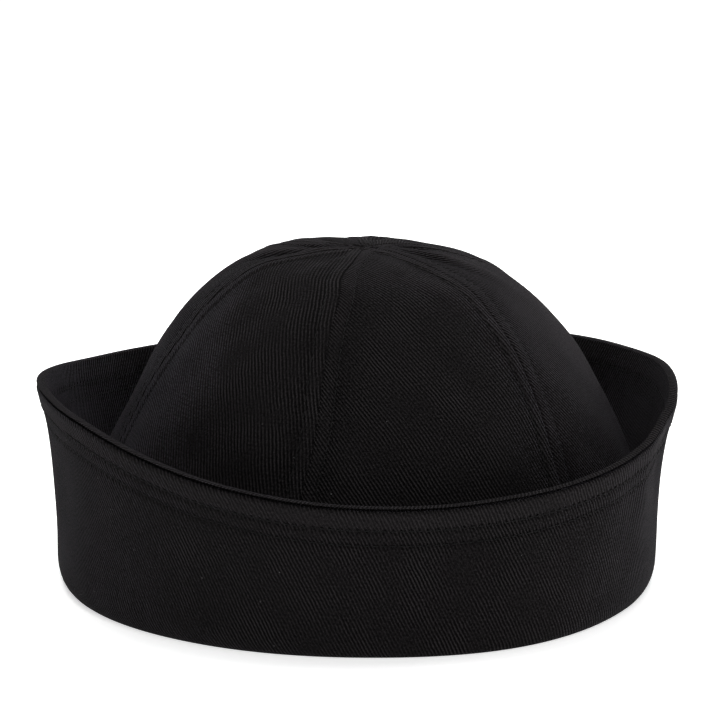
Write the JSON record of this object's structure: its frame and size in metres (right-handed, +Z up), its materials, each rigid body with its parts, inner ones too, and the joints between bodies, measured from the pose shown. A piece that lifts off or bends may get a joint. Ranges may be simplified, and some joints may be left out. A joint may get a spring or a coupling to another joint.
{
  "type": "sailor cap",
  "caption": "Soft sailor cap of black cotton twill: a domed crown of sewn gores inside a tall two-ply brim that is turned up all round.",
  "frame": {"origin": "on the surface that the cap rests on, at the middle of its base", "axes": "+Z up through the crown, -Y towards the front, where the brim is lowest, +X to the right seen from the front"},
  "size_m": [0.2098, 0.202, 0.1088],
  "materials": {
    "twill": "matte black cotton twill, sewn with black thread"
  },
  "bodies": {
    "root": {"crown_panel_front_right": "twill", "crown_panel_right": "twill", "crown_panel_back_right": "twill", "crown_panel_back_left": "twill", "crown_panel_left": "twill", "crown_panel_front_left": "twill", "brim_outer": "twill", "brim_inner": "twill"}
  },
  "joints": []
}
